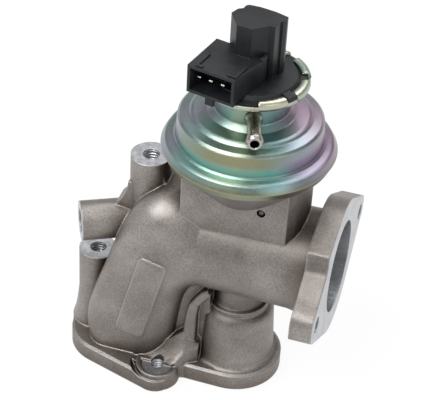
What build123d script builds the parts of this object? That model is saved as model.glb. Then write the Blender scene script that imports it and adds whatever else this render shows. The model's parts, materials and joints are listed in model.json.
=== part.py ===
from build123d import *
from math import cos, radians, sin
import os

# Vacuum-operated EGR valve with a position sensor on top of its actuator.
# Origin: valve axis at the base face.  +X runs along the air pipe to its flange, +Z up the valve axis.
# All sizes are in millimetres.

# ---- driving dimensions: housing casting ----
WALL = 3.2                  # casting wall of the ducts
BASE_T = 7.5                # base plate thickness
BASE_STEP = 0.7             # inset of the plate's upper edge
PIPE_Z = 62.5               # height of the air pipe's axis
PIPE_R = 21.5               # pipe outside radius at the flange
PIPE_R_ROOT = 20.4          # pipe outside radius where the elbow starts
PIPE_BORE_R = 19.0          # machined air inlet bore
PIPE_BORE_DEPTH = 24.0
PIPE_CAST_R = 18.6          # cast bore behind it
ELBOW_X = -14.0             # where the pipe turns into the elbow
DUCT_HALF_Y = 20.2          # half width of the elbow across the valve plane
OUTLET_X = (-60.5, -22.5)   # left and right walls of the outlet duct at the base
FLANGE_X = 40.7             # machined face of the air flange
FLANGE_T = 9.0
FLANGE_DISC_R = 27.8
NEAR_EAR_R = 7.6
FAR_EAR_R = 7.0
FLANGE_PCD = 70.0
FLANGE_TILT = 3.7           # the two bolts' line, turned from +Y towards +Z
FLANGE_BOLT_R = 3.4         # M8 tapping hole
CHAMBER_R = 16.3            # valve chamber outside radius at its foot
CHAMBER_TOP_R = 15.1
CHAMBER_TOP_Z = 32.0
CHAMBER_FOOT_R = 18.0       # root of the foot fillet on the base plate
VALVE_LOBE_R = 19.8         # base plate lobe round the valve axis
NECK_R = 10.6               # waist between chamber and pipe
NECK_BORE_R = 7.6
INLET_R = 12.5              # EGR gas inlet bore
INLET_DEPTH = 3.5
SEAT_RING_R = 12.1          # the ring is pressed in from below
BLOCK_FRONT = 14.5          # half depth of the block that carries the actuator
BLOCK_LEFT = -22.5
BLOCK_RIGHT = 26.0
BLOCK_Z = (72.0, 104.0)
BOWL_Z = (88.0, 110.2)      # conical bowl under the actuator
BOWL_FLANGE_R = 32.2
BOWL_R = (12.1, BOWL_FLANGE_R - 1.0)
BOWL_FLANGE_T = 3.0
BOWL_FLOOR_Z = 103.5
BOSS_R = 8.25               # upper boss and sensor port boss
UPPER_BOSS = (-40.4, 2.0)
UPPER_BOSS_Z = 95.6
PORT_BOSS_END = (-66.5, -9.0)
PORT_BOSS_ANGLE = 208.0     # direction the port faces, in plan
PORT_BOSS_LENGTH = 24.0
PORT_BORE_R = 5.1           # M12 tapping bore
PORT_BORE_DEPTH = 15.0
PORT_POINT = 3.1            # drill point at the bottom of the bore
LEFT_BOLT = (-61.8, -0.6)
LEFT_BOSS_R = 7.9
LEFT_BOSS_Z = 43.8
FRONT_BOLT = (-27.3, -21.9)
REAR_BOLT = (-27.3, 21.9)
EAR_OUTLINE_R = 7.5         # plate outline at the ears, a little outside the holes
EAR_LEAN = 2.6
EAR_R = 9.4
M6_TAP_R = 2.55             # M6 tapping drill
M8_TAP_R = 3.4              # M8 tapping drill
EAR_LIP_R = 8.9             # rim round the seat of the front and rear holes
EAR_LIP_Z = 7.6
SEAT_FLOOR_Z = 6.6
SEAT_FLOOR_R = 7.2
GROOVE_R = 11.2             # valley between the rim and the plate
GROOVE_Z = 5.2
PAD_RISE = 0.6              # height of the label pad over the duct's front
GUIDE_R = 5.2               # bore for the stem guide
SEAL_R = 7.5                # counterbore for the stem seal
BALL_HOLE = (10.3, 91.1)    # x and z of the drilling in the block's front
BALL_R = 1.8

# ---- driving dimensions: valve and actuator ----
LIFT = 5.5                  # full valve lift
STEM_R = 3.0
RUN = 0.04                  # radial running clearance of the stem and the plunger
SEAT_R = 9.6                # gas passage through the seat
SEAT_T = 5.0
POPPET_R = 10.9
POPPET_T = 3.4
CAN_T = 1.0                 # sheet of the actuator can
RIM_R = BOWL_FLANGE_R + 2.2
RIM_Z = 112.6               # widest point of the rolled rim
RIM_TOP = (RIM_R - 2.0, 115.9)
CAN_R = 29.0
CAN_Z = (117.1, 126.4)
CAN_STEP_R = 23.2
CAN_TOP_Z = 128.4
NECK_TUBE_R = 14.9
CUP_R = 21.4                # cup that carries the sensor
CUP_Z = (139.2, 141.6)
CUP_T = 1.0
CUP_WALL_Z = 143.4
TAB_COUNT = 6                # crimp tabs; none under the connector box
TAB_PITCH = 45.0
TAB_FIRST = -54.0           # plan direction of the first tab
TAB_WIDTH = 30.0
TAB_R = CUP_R - 3.2         # inner edge of the folded tabs
TAB_T = 0.8
DIAPHRAGM_T = 1.2
PLATE_R = 17.5
BEAD_R = BOWL_FLANGE_R - 5.6  # inner edge of the diaphragm's clamped bead
PLATE_T = 1.4
SPRING_R = 11.0
SPRING_WIRE = 1.1           # radius
SPRING_TURNS = 5
NIPPLE_ANGLE = -72.3        # plan direction of the vacuum nipple
NIPPLE_Z = 134.2
NIPPLE_END = 31.4           # distance of its end from the valve axis
NIPPLE_R = 2.8
NIPPLE_BEAD_R = 3.3
BEAD_LAND = 1.5             # straight stretch of the nipple's bead
NIPPLE_BORE_R = 1.8

# ---- driving dimensions: position sensor ----
SENSOR_TURN = -12.5         # plan rotation of the sensor about the valve axis
BASE_R = CUP_R - 1.1        # sensor base, inside the cup
BASE_EDGE_Z = 144.0
BASE_TOP = (CUP_R - 5.0, 145.4)  # raised middle of the base: radius and height
SOCKET_X = (-15.7, 4.1)     # connector box, in the sensor's own axes
SOCKET_FRONT = -23.6
SOCKET_Z = (143.9, 155.6)
SOCKET_WALL = 1.2
SOCKET_DEPTH = 11.0
PIN_PITCH = 5.0
PIN_ROW_X = -7.6            # middle of the terminal row; the box has a thicker wall on its right
PIN_RECESS = 3.5
PIN_W = 1.5
PIN_T = 0.64
TOWER_TOP = 168.4
PLUNGER_R = 2.0
CARRIER_R = 3.3
CARRIER_Z = (149.0, 154.0)
CAVITY_R = 5.4
CAVITY_Z = (147.5, 164.8)
BOARD = (5.0, 0.7, 15.0)    # resistive track board
BOARD_Y = 4.1
WIPER_GAP = 0.1
SEAL_RING_R = 13.0
SEAL_CORD_R = 0.9


SEAL_SEAT_Z = 97.0
SEAT_TOP = INLET_DEPTH + SEAT_T
STEM_TOP = 119.0
PLATE_Z = 112.6             # underside of the lower diaphragm plate


def flat(points, plane=Plane.XY):
    """A face bounded by straight lines through the points."""
    return plane * make_face(Polyline(*points, close=True))


def turned(profile, axis=Axis.Z):
    """A solid of revolution; the profile is radius, height pairs."""
    return revolve(flat(profile, Plane.XZ), axis)


def rod(radius, low, high, at=(0, 0)):
    return Pos(at[0], at[1], low) * Cylinder(radius, high - low, align=(Align.CENTER, Align.CENTER,
                                                                        Align.MIN))


def tube(outer, inner, low, high):
    return rod(outer, low, high) - rod(inner, low, high)


def rod_x(radius, low, high, z, end_radius=None):
    """A bar along X, tapering to end_radius."""
    far = radius if end_radius is None else end_radius
    profile = [(low, 0), (high, 0), (high, far), (low, radius)]
    bar = revolve(flat(profile, Plane.XY), Axis.X)
    return Pos(0, 0, z) * bar


# ---- housing ----
# Points where the elbow's outer and inner bends are crossed by its sections, from the pipe to the base.
ELBOW_OUTER = [(ELBOW_X, PIPE_Z + PIPE_R_ROOT), (-41.0, 79.5), (-51.5, 56.0), (-58.6, 33.0),
               (OUTLET_X[0], BASE_T)]
ELBOW_INNER = [(ELBOW_X, PIPE_Z - PIPE_R_ROOT), (-16.5, 41.4), (-18.8, 36.5), (-20.5, 26.0),
               (OUTLET_X[1], BASE_T)]
OUTER_CORNER = [19.6, 12.5, 10.0, 9.0, 9.0]
INNER_CORNER = [19.6, 17.5, 16.5, 16.5, 17.0]


def duct_section(plane, across, outer_corner, inner_corner, wall):
    """Section of the elbow: a rectangle with its own corner radii on the outer and the inner bend."""
    a, b = across / 2 - wall, DUCT_HALF_Y - wall
    corners = [(a, -b), (a, b), (-a, b), (-a, -b)]
    radii = [outer_corner - wall, outer_corner - wall, inner_corner - wall, inner_corner - wall]
    return plane * make_face(FilletPolyline(*corners, radius=radii, close=True))


def elbow_section(index, wall):
    (xo, zo), (xi, zi) = ELBOW_OUTER[index], ELBOW_INNER[index]
    across = Vector(xo - xi, 0, zo - zi)
    plane = Plane(origin=((xo + xi) / 2, 0, (zo + zi) / 2), x_dir=across,
                  z_dir=across.cross(Vector(0, 1, 0)))
    return duct_section(plane, across.length, OUTER_CORNER[index], INNER_CORNER[index], wall)


def elbow(wall, bottom):
    body = loft([elbow_section(index, wall) for index in range(len(ELBOW_OUTER))])
    return body + extrude(elbow_section(-1, wall), BASE_T - bottom)


def plate_outline(inset):
    """Base plate: a wide lobe under the outlet, a round lobe under the valve and two bolt ears."""
    left_lobes = [Pos(-52.2, y) * Circle(18.2 - inset) for y in (-5.5, 6.0)]
    ears = [Pos(x, y + lean) * Circle(EAR_OUTLINE_R - inset)
            for (x, y), lean in ((FRONT_BOLT, -EAR_LEAN), (REAR_BOLT, EAR_LEAN))]
    wide = make_hull(sum([face.edges() for face in left_lobes + ears], ShapeList()))
    half = VALVE_LOBE_R - inset
    outline = wide + Circle(half) + flat([(-24, -half + 0.4), (0, -half), (0, half), (-24, half - 0.4)])
    ear_x = FRONT_BOLT[0] + EAR_OUTLINE_R
    inner_corners = [v for v in outline.vertices() if abs(v.X - ear_x) < 3.5 and abs(abs(v.Y) - half) < 3]
    return fillet(inner_corners, 4.0 + inset)


def base_plate():
    return extrude(plate_outline(0), BASE_T - BASE_STEP) + extrude(plate_outline(BASE_STEP), BASE_T)


def valve_chamber():
    """Round chamber with a filleted foot, a stepped shoulder and a waist up to the pipe."""
    top = CHAMBER_TOP_Z
    profile = [(0, 1), (CHAMBER_FOOT_R, 1), (CHAMBER_FOOT_R, BASE_T), (CHAMBER_R + 0.5, BASE_T + 0.9),
               (CHAMBER_R, BASE_T + 2.4),
               (CHAMBER_TOP_R + 0.2, top - 1.8), (CHAMBER_TOP_R - 0.6, top - 0.4),
               (CHAMBER_TOP_R - 2.2, top + 1.2),
               (NECK_R + 2.2, top + 3.4), (NECK_R + 0.6, top + 4.2), (NECK_R, top + 5.6),
               (NECK_R, PIPE_Z - PIPE_R + 8),
               (0, PIPE_Z - PIPE_R + 8)]
    return turned(profile)


def flange_point(distance, side=0.0):
    """A point in the flange's plane, measured along its bolt line and square to it."""
    turn = radians(FLANGE_TILT)
    return (distance * cos(turn) - side * sin(turn), distance * sin(turn) + side * cos(turn))


def flange_outline():
    """Round middle with two ears; the disc has a hump that ends in a step over the near ear's shoulder."""
    near, far = [Pos(*flange_point(side * FLANGE_PCD / 2)) * Circle(radius)
                 for side, radius in ((-1, NEAR_EAR_R), (1, FAR_EAR_R))]
    outline = make_hull(Circle(FLANGE_DISC_R).edges() + near.edges() + far.edges())
    outline += make_hull(Circle(FLANGE_DISC_R).edges() + (Pos(-21.2, 20.2) * Circle(1.8)).edges())
    outline -= flat([(-50, 6.2), (-39.5, 6.2), (-26.0, 12.9), (-24.0, 14.6), (-23.0, 17.4), (-23.0, 40),
                     (-50, 40)])
    outline += flat([(-43.2, -5.4), (-43.9, -4.2), (-43.9, 0.6), (-43.3, 3.0), (-41.8, 5.0),
                     (-39.0, 6.5), (-30, 9), (-28, -12.5), (-39.0, -8.8)])
    outline += flat([(41.2, 1.2), (38.2, 8.2), (26, 15.0), (26, -4), (38.6, -3.6)])
    return outline


def air_flange():
    plane = Plane(origin=(FLANGE_X - FLANGE_T, 0, PIPE_Z), x_dir=(0, 1, 0), z_dir=(1, 0, 0))
    plate = plane * extrude(flange_outline(), FLANGE_T)
    back = FLANGE_X - FLANGE_T
    root = revolve(flat([(back - 9, PIPE_R - 2), (back - 9, PIPE_R), (back - 4, PIPE_R + 1.0),
                         (back - 1.2, PIPE_R + 3.2),
                         (back, PIPE_R + 6), (back + 1, PIPE_R + 6), (back + 1, PIPE_R - 2)]), Axis.X)
    below = Pos(back - 4, 0, -PIPE_R) * Box(12, 22, 16)
    return plate + Pos(0, 0, PIPE_Z) * (root & below)


def actuator_block():
    outline = flat([(BLOCK_LEFT, -BLOCK_FRONT), (20.8, -BLOCK_FRONT), (23.6, -11.5), (25.4, -8),
                    (BLOCK_RIGHT, -2.7),
                    (BLOCK_RIGHT, 2.7), (25.4, 8), (23.6, 11.5), (20.8, BLOCK_FRONT),
                    (BLOCK_LEFT, BLOCK_FRONT)])
    return extrude(Pos(0, 0, BLOCK_Z[0]) * outline, BLOCK_Z[1] - BLOCK_Z[0])


def bowl():
    top = BOWL_Z[1] + BOWL_FLANGE_T
    profile = [(0, BOWL_Z[0]), (BOWL_R[0], BOWL_Z[0]), (BOWL_R[1], BOWL_Z[1] - 2.2),
               (BOWL_R[1], BOWL_Z[1]),
               (BOWL_FLANGE_R, BOWL_Z[1]), (BOWL_FLANGE_R, top), (0, top)]
    return turned(profile)


def bowl_hollow():
    top = BOWL_Z[1] + BOWL_FLANGE_T + 1
    return turned([(0, BOWL_FLOOR_Z), (20.5, BOWL_FLOOR_Z), (BEAD_R + 0.4, BOWL_Z[1]),
                   (BEAD_R + 0.4, top), (0, top)])


def upper_boss():
    """Boss with an M8 hole on the elbow's shoulder, its flare to the sensor port and its saddle to the block."""
    x, y = UPPER_BOSS
    flare = Polyline((x, PIPE_Z), (x - 16, PIPE_Z), (x - 13.2, PIPE_Z + BOSS_R)) + Spline(
        (x - 13.2, PIPE_Z + BOSS_R), (x - 10.8, 73.7), (x - 8.9, 77.5), (x - 7.6, 83.5)) + Polyline(
        (x - 7.6, 83.5), (x, 83.5), (x, PIPE_Z))
    saddle = Polyline((x, PIPE_Z), (x, 89.0), (x + 7, 89.0)) + Spline(
        (x + 7, 89.0), (x + 8.6, 85.2), (x + 12.0, 83.2), (BLOCK_LEFT + 2, 82.6)) + Polyline(
        (BLOCK_LEFT + 2, 82.6), (BLOCK_LEFT + 2, PIPE_Z), (x, PIPE_Z))
    body = rod(BOSS_R, PIPE_Z, UPPER_BOSS_Z, UPPER_BOSS)
    body += Pos(0, y + 5.5, 0) * extrude(Plane.XZ * make_face(flare), 11)
    return body + Pos(0, y + 4.5, 0) * extrude(Plane.XZ * make_face(saddle), 9)


def port_plane():
    turn = radians(PORT_BOSS_ANGLE)
    x, y = PORT_BOSS_END
    return Plane(origin=(x, y, PIPE_Z), x_dir=(-sin(turn), cos(turn), 0), z_dir=(cos(turn), sin(turn), 0))


def port_boss():
    """Sensor port on the elbow's left shoulder, machined square at its end."""
    return port_plane() * rod(BOSS_R, -PORT_BOSS_LENGTH, 0)


def left_boss():
    """Tall bolt boss beside the duct, flared where it meets the base plate."""
    x, y = LEFT_BOLT
    web = extrude(flat([(x, y - 5.5), (x + 12, y - 5.5), (x + 12, y + 7), (x, y + 7)]), LEFT_BOSS_Z - 2.5)
    column = turned([(0, 0), (LEFT_BOSS_R + 2.6, 0), (LEFT_BOSS_R + 2.6, BASE_T),
                     (LEFT_BOSS_R + 1.6, BASE_T + 3.5),
                     (LEFT_BOSS_R + 0.7, BASE_T + 9), (LEFT_BOSS_R, BASE_T + 16),
                     (LEFT_BOSS_R, LEFT_BOSS_Z), (0, LEFT_BOSS_Z)])
    return Pos(x, y) * column + web


def bolt_web():
    """Web between the outlet duct and the valve chamber.

    Its hollow front rises from the bolt's seat to a rounded lip that climbs to a knob;
    on the right it ends in a ridge that runs from the chamber down to the seat's rim.
    """
    stations = ((-43.0, -15.5, 7.0, -18.5, 6.6, -20.0, 6.6), (-36.0, -15.5, 9.2, -19.3, 7.0, -24.0, 6.8),
                (-30.4, -15.5, 12.1, -20.0, 8.0, -25.0, 6.8),
                (-24.2, -15.5, 16.2, -20.6, 9.2, -25.5, 7.2),
                (-19.4, -15.1, 20.7, -20.0, 11.6, -22.3, 10.2),
                (-16.2, -13.9, 21.8, -17.0, 15.6, -18.4, 13.4),
                (-11.8, -11.6, 17.0, -14.4, 15.4, -15.4, 14.6))
    sections = []
    for x, lip_y, lip_z, slope_y, slope_z, end_y, end_z in stations:
        outline = [(-4, 1), (-4, lip_z), (lip_y + 2.2, lip_z), (lip_y + 0.7, lip_z - 0.5),
                   (lip_y, lip_z - 1.8),
                   ((lip_y + 2 * slope_y) / 3, (lip_z + 3 * slope_z) / 4), (slope_y, slope_z),
                   (end_y, end_z),
                   (end_y - 0.8, 1)]
        sections.append(flat(outline, Plane((x, 0, 0), x_dir=(0, 1, 0), z_dir=(1, 0, 0))))
    fill = Pos(0, -2, 0) * extrude(flat([(-24, 1), (-24, 47), (-9, 47), (-9, 1)], Plane.XZ), 9.0)
    return loft(sections, ruled=True) + fill



def web_rib():
    """Rounded rib that runs from the knob up to the pipe."""
    line = Polyline((-18.9, 17), (-19.0, 24), (-18.4, 30.5), (-17.2, 36.4), (-14.6, 40.6), (-11.8, 44.6),
                    (-9.6, 45.6), (-7.8, 43.6),
                    (-10.2, 40.0), (-12.6, 36.6), (-13.5, 30.2), (-13.6, 17), (-18.9, 17))
    rib = Pos(0, -2, 0) * extrude(Plane.XZ * make_face(line), 12.8)
    return fillet([edge for edge in rib.edges() if edge.center().Y < -14.7], 1.2)


def bolt_rim():
    """Round foot of the front bolt's seat."""
    return Pos(*FRONT_BOLT) * turned([(0, 0), (EAR_R, 0), (EAR_LIP_R, EAR_LIP_Z), (0, EAR_LIP_Z)])


def bolt_groove():
    """Valley round the rim, open to the web behind it."""
    x, y = FRONT_BOLT
    valley = turned([(0, GROOVE_Z), (GROOVE_R - 1.2, GROOVE_Z), (GROOVE_R, GROOVE_Z + 1.6),
                     (GROOVE_R + 0.6, BASE_T + 2), (0, BASE_T + 2)])
    return Pos(x, y) * valley & Pos(x, -17 - 15) * Box(60, 30, 60)


def bolt_scoop():
    """Shallow round seat of the front bolt."""
    x, y = FRONT_BOLT
    seat = turned([(0, SEAT_FLOOR_Z), (SEAT_FLOOR_R - 0.8, SEAT_FLOOR_Z),
                   (SEAT_FLOOR_R, SEAT_FLOOR_Z + 0.4), (SEAT_FLOOR_R + 0.6, 9), (0, 9)])
    return Pos(x, y) * seat & Pos(x, y - 9) * Box(30, 18, 60)


def label_pad():
    """Raised bare pad on the duct's front, leaning with the duct."""
    pad = Rectangle(11.8, 41.7)
    pad = fillet(pad.vertices(), 2.2)
    plane = Plane(origin=(-36.0, -DUCT_HALF_Y - PAD_RISE, 38.8), x_dir=(1, 0, 0.0), z_dir=(0, -1, 0))
    return plane * Rot(0, 0, -14) * extrude(pad, -6)


def housing():
    front = bolt_rim() + bolt_web() - bolt_scoop() + web_rib()
    body = base_plate() - bolt_groove() - mirror(bolt_groove(), Plane.XZ) + front + mirror(front, Plane.XZ)
    body += valve_chamber() + elbow(0, 1.0) + label_pad()
    body += rod_x(PIPE_R_ROOT, ELBOW_X - 4, FLANGE_X - 2, PIPE_Z, PIPE_R)
    body += air_flange() + actuator_block() + bowl() + upper_boss() + port_boss() + left_boss()
    # gas passages
    body -= elbow(WALL, -1.0)
    body -= (rod_x(PIPE_CAST_R, ELBOW_X - 6, FLANGE_X, PIPE_Z)
             + rod_x(PIPE_BORE_R, FLANGE_X - PIPE_BORE_DEPTH, FLANGE_X + 1, PIPE_Z))
    body -= rod(INLET_R, -1, INLET_DEPTH) + rod(SEAT_RING_R, 0, INLET_DEPTH + SEAT_T)
    body -= rod(SEAT_RING_R - 0.3, 0, CHAMBER_TOP_Z - 2.6)
    body -= rod(NECK_BORE_R, CHAMBER_TOP_Z - 4, PIPE_Z)
    # stem guide, seal seat and the bowl's hollow
    body -= (rod(GUIDE_R, PIPE_Z, BOWL_FLOOR_Z + 1) + rod(SEAL_R, SEAL_SEAT_Z, BOWL_FLOOR_Z + 1)
             + bowl_hollow())
    # bolt and sensor holes
    for bolt, top, tap_r in ((FRONT_BOLT, 17, M6_TAP_R), (REAR_BOLT, 17, M6_TAP_R),
                             (LEFT_BOLT, LEFT_BOSS_Z, M8_TAP_R)):
        body -= rod(tap_r, -1, top + 1, bolt)
    for bolt in (FRONT_BOLT, REAR_BOLT):
        body -= rod(M6_TAP_R + 0.2, SEAT_FLOOR_Z, 17, bolt)
    body -= rod(M8_TAP_R, UPPER_BOSS_Z - 13, UPPER_BOSS_Z + 1, UPPER_BOSS)
    body -= port_plane() * turned([(0, -PORT_BORE_DEPTH - PORT_POINT), (PORT_BORE_R, -PORT_BORE_DEPTH),
                                   (PORT_BORE_R, 1),
                                   (0, 1)])
    for side in (-1, 1):
        y, z = flange_point(side * FLANGE_PCD / 2)
        hole = rod(FLANGE_BOLT_R, -1, FLANGE_T + 1)
        body -= Pos(FLANGE_X - FLANGE_T, y, PIPE_Z + z) * Rot(0, 90, 0) * hole
    x, z = BALL_HOLE
    body -= Pos(x, -BLOCK_FRONT - 1, z) * Rot(-90, 0, 0) * rod(BALL_R, 0, 6)
    return body


# ---- valve train ----
def seat_ring():
    chamfer = POPPET_R - SEAT_R
    return turned([(SEAT_R, INLET_DEPTH), (SEAT_RING_R, INLET_DEPTH), (SEAT_RING_R, SEAT_TOP),
                   (POPPET_R, SEAT_TOP),
                   (SEAT_R, SEAT_TOP - chamfer)])


def poppet():
    """Valve head with a conical face that closes on the seat."""
    cone = POPPET_R - SEAT_R
    low = SEAT_TOP - cone
    return turned([(0, low - 0.6), (SEAT_R - 1.2, low - 0.6), (SEAT_R - 0.1, low),
                   (POPPET_R - 0.1, SEAT_TOP),
                   (POPPET_R - 0.1, SEAT_TOP + POPPET_T - 1.6),
                   (POPPET_R - 0.9, SEAT_TOP + POPPET_T - 0.8),
                   (6.0, SEAT_TOP + POPPET_T), (STEM_R, SEAT_TOP + POPPET_T + 3.0),
                   (0, SEAT_TOP + POPPET_T + 3.0)])


def stem():
    low = SEAT_TOP + POPPET_T + 3.0
    return turned([(0, low), (STEM_R, low), (STEM_R, PLATE_Z), (STEM_R - 0.8, PLATE_Z),
                   (STEM_R - 0.8, STEM_TOP),
                   (0, STEM_TOP)])


def guide_bush():
    return tube(GUIDE_R, STEM_R + RUN, PIPE_Z + 17.5, SEAL_SEAT_Z)


def scraper_ring():
    return tube(GUIDE_R + 1.6, STEM_R + RUN, SEAL_SEAT_Z, SEAL_SEAT_Z + 0.8) - rod(GUIDE_R + 1.6, 0, 1)


def stem_seal():
    low = SEAL_SEAT_Z + 0.8
    return turned([(STEM_R + RUN, low), (SEAL_R, low), (SEAL_R, low + 3.6), (4.6, low + 3.6),
                   (4.2, low + 1.6),
                   (STEM_R + RUN, low + 1.0)])


def seal_retainer():
    low = SEAL_SEAT_Z + 4.4
    return tube(SEAL_R, 4.6, low, low + 1.0)


def lower_plate():
    return tube(PLATE_R, STEM_R - 0.8, PLATE_Z, PLATE_Z + PLATE_T)


def diaphragm():
    """Rubber diaphragm: a flat middle between the plates, a convolution and a bead clamped at the rim."""
    low, seat = PLATE_Z + PLATE_T, BOWL_Z[1] + BOWL_FLANGE_T
    high = low + DIAPHRAGM_T
    bead = RIM_TOP[1] - CAN_T - 0.2
    return turned([(STEM_R - 0.8, low), (PLATE_R, low), (PLATE_R + 3, low - 1.8),
                   (BEAD_R - 1.6, low - 1.8), (BEAD_R, seat),
                   (BOWL_FLANGE_R - 0.8, seat), (BOWL_FLANGE_R - 0.8, bead), (BEAD_R, bead),
                   (BEAD_R - 2.2, high - 1.8),
                   (PLATE_R + 3, high - 1.8), (PLATE_R, high), (STEM_R - 0.8, high)])


def upper_plate():
    """Spring cup that clamps the diaphragm's middle."""
    low = PLATE_Z + PLATE_T + DIAPHRAGM_T
    return turned([(STEM_R - 0.8, low), (PLATE_R, low), (PLATE_R, low + 3.0),
                   (PLATE_R - PLATE_T, low + 3.0),
                   (PLATE_R - PLATE_T, low + PLATE_T), (STEM_R - 0.8, low + PLATE_T)])


def stem_nut():
    low = PLATE_Z + 2 * PLATE_T + DIAPHRAGM_T
    return extrude(Pos(0, 0, low) * RegularPolygon(4.6, 6), 2.4) - rod(STEM_R - 0.8, low - 1, low + 4)


def return_spring():
    low = PLATE_Z + 2 * PLATE_T + DIAPHRAGM_T + SPRING_WIRE
    high = CUP_Z[0] - 0.2 - SPRING_WIRE
    path = Helix((high - low) / SPRING_TURNS, high - low, SPRING_R)
    section = Plane(origin=path @ 0, z_dir=path % 0) * RegularPolygon(SPRING_WIRE, 8)
    return Pos(0, 0, low) * sweep(section, path)


# ---- actuator ----
def shell_profile(outside, thickness):
    """Closes an outside line of radius, height pairs with a copy that lies inside it."""
    inside = [(r - thickness * dr, z - thickness * dz) for (r, z, dr, dz) in outside]
    return [(r, z) for (r, z, _, _) in outside] + inside[::-1]


def actuator_can():
    top = CUP_Z[0]
    outside = [(RIM_R - 1.6, BOWL_Z[1] - 1.0, 1, 0), (RIM_R, RIM_Z, 1, 0),
               (RIM_TOP[0] + 0.4, RIM_TOP[1] - 0.5, 0.8, 0.4),
               (RIM_TOP[0] - 0.6, RIM_TOP[1], 0.3, 0.9), (CAN_R + 0.7, RIM_TOP[1] + 0.5, 1, 0.9),
               (CAN_R, CAN_Z[0], 1, 0.3),
               (CAN_R - 0.7, CAN_Z[1] - 1.0, 1, 0), (CAN_R - 1.7, CAN_Z[1], 0.6, 0.8),
               (CAN_STEP_R + 0.8, CAN_Z[1] + 0.7, 0.1, 1),
               (CAN_STEP_R, CAN_Z[1] + 1.5, 0.7, 0.7), (CAN_STEP_R - 1.0, CAN_TOP_Z, 0.3, 1),
               (NECK_TUBE_R + 2.3, CAN_TOP_Z + 0.5, 0.3, 1),
               (NECK_TUBE_R, CAN_TOP_Z + 2.6, 1, 0.2), (NECK_TUBE_R, top, 1, 0)]
    return (turned(shell_profile(outside, CAN_T))
            - nipple_plane() * rod(NIPPLE_R, NECK_TUBE_R - 3, NECK_TUBE_R + 2))


def nipple_plane():
    turn = radians(NIPPLE_ANGLE)
    return Plane(origin=(0, 0, NIPPLE_Z), x_dir=(-sin(turn), cos(turn), 0),
                 z_dir=(cos(turn), sin(turn), 0))


def vacuum_nipple():
    """Drawn tube with a foot on the neck, and a bead near its end that holds the hose."""
    bead = NIPPLE_END - 1.4
    profile = [(NIPPLE_BORE_R, NECK_TUBE_R - CAN_T), (NIPPLE_R, NECK_TUBE_R - CAN_T),
               (NIPPLE_R, NECK_TUBE_R + 0.4),
               (NIPPLE_R + 0.7, NECK_TUBE_R + 0.4), (NIPPLE_R, NECK_TUBE_R + 2.4),
               (NIPPLE_R, bead - BEAD_LAND - 0.8),
               (NIPPLE_BEAD_R, bead - BEAD_LAND), (NIPPLE_BEAD_R, bead),
               (NIPPLE_R - 0.1, NIPPLE_END - 0.2),
               (NIPPLE_R - 0.4, NIPPLE_END), (NIPPLE_BORE_R, NIPPLE_END)]
    return nipple_plane() * turned(profile)


CUP_FLOOR_Z = CUP_Z[0] + 0.6 + CUP_T


def sensor_cup():
    """Pressed cup with crimp tabs folded over the edge of the sensor's base."""
    low, high = CUP_Z
    cup = turned([(SPRING_R - 3.5, low), (NECK_TUBE_R, low), (NECK_TUBE_R + 1.0, low + 0.6),
                  (CUP_R - 0.7, high - 0.4),
                  (CUP_R, high + 0.3), (CUP_R, CUP_WALL_Z), (CUP_R - CUP_T, CUP_WALL_Z),
                  (CUP_R - CUP_T, high + CUP_T),
                  (NECK_TUBE_R + 1.0, CUP_FLOOR_Z), (SPRING_R - 3.5, CUP_FLOOR_Z)])
    fold = flat([(CUP_R - CUP_T, CUP_WALL_Z), (CUP_R, CUP_WALL_Z), (CUP_R, BASE_EDGE_Z + 0.2),
                 (CUP_R - 0.6, BASE_EDGE_Z + TAB_T), (TAB_R, BASE_EDGE_Z + TAB_T), (TAB_R, BASE_EDGE_Z),
                 (CUP_R - CUP_T, BASE_EDGE_Z)], Plane.XZ)
    tab = Rot(0, 0, -TAB_WIDTH / 2) * revolve(fold, Axis.Z, TAB_WIDTH)
    for index in range(TAB_COUNT):
        cup += Rot(0, 0, TAB_FIRST + index * TAB_PITCH) * tab
    return cup


# ---- position sensor ----
def tower_outline():
    """Tower section: a faceted front, and a wider slab behind it."""
    front = [(-4.6, -7.9), (1.7, -7.5), (5.8, -1.9), (8.0, -1.4), (8.0, 4.0), (-8.2, 4.0), (-9.8, 2.3),
             (-10.4, -1.5)]
    slab = [(-8.3, 3.5), (8.6, 3.5), (9.2, 5.4), (8.7, 7.5), (3.0, 8.3), (-3.5, 8.1), (-7.6, 7.2),
            (-8.4, 6.2)]
    return flat(front) + flat(slab)


def socket_box(inset, front, back, low, high):
    left, right = SOCKET_X
    face = flat([(left + inset, front), (right - inset, front), (right - inset, back),
                 (left + inset, back)])
    return extrude(Pos(0, 0, low) * face, high - low)


def sensor_base():
    """Round base that fills the cup, with an O-ring groove underneath and a lug in one gap of the crimp."""
    middle_r, middle_z = BASE_TOP
    base = turned([(0, CUP_FLOOR_Z), (NECK_TUBE_R + 0.9, CUP_FLOOR_Z), (BASE_R, CUP_Z[1] + CUP_T),
                   (BASE_R, BASE_EDGE_Z),
                   (middle_r + 1.2, BASE_EDGE_Z), (middle_r, middle_z), (0, middle_z)])
    groove = tube(SEAL_RING_R + SEAL_CORD_R, SEAL_RING_R - SEAL_CORD_R, CUP_FLOOR_Z,
                  CUP_FLOOR_Z + 2 * SEAL_CORD_R)
    return base - groove


def sensor_housing():
    """One moulding: round base, faceted tower and the three-way connector box."""
    body = extrude(Pos(0, 0, BASE_EDGE_Z) * tower_outline(), TOWER_TOP - BASE_EDGE_Z)
    body += socket_box(0, SOCKET_FRONT, -2, SOCKET_Z[0] + 0.1, SOCKET_Z[1])
    body -= socket_box(SOCKET_WALL, SOCKET_FRONT - 1, SOCKET_FRONT + SOCKET_DEPTH,
                       SOCKET_Z[0] + SOCKET_WALL, SOCKET_Z[1] - SOCKET_WALL)
    body = Rot(0, 0, SENSOR_TURN) * body + sensor_base()
    body -= rod(CAVITY_R, *CAVITY_Z) + rod(PLUNGER_R + RUN, CUP_FLOOR_Z - 1, CAVITY_Z[0] + 1)
    return body


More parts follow.
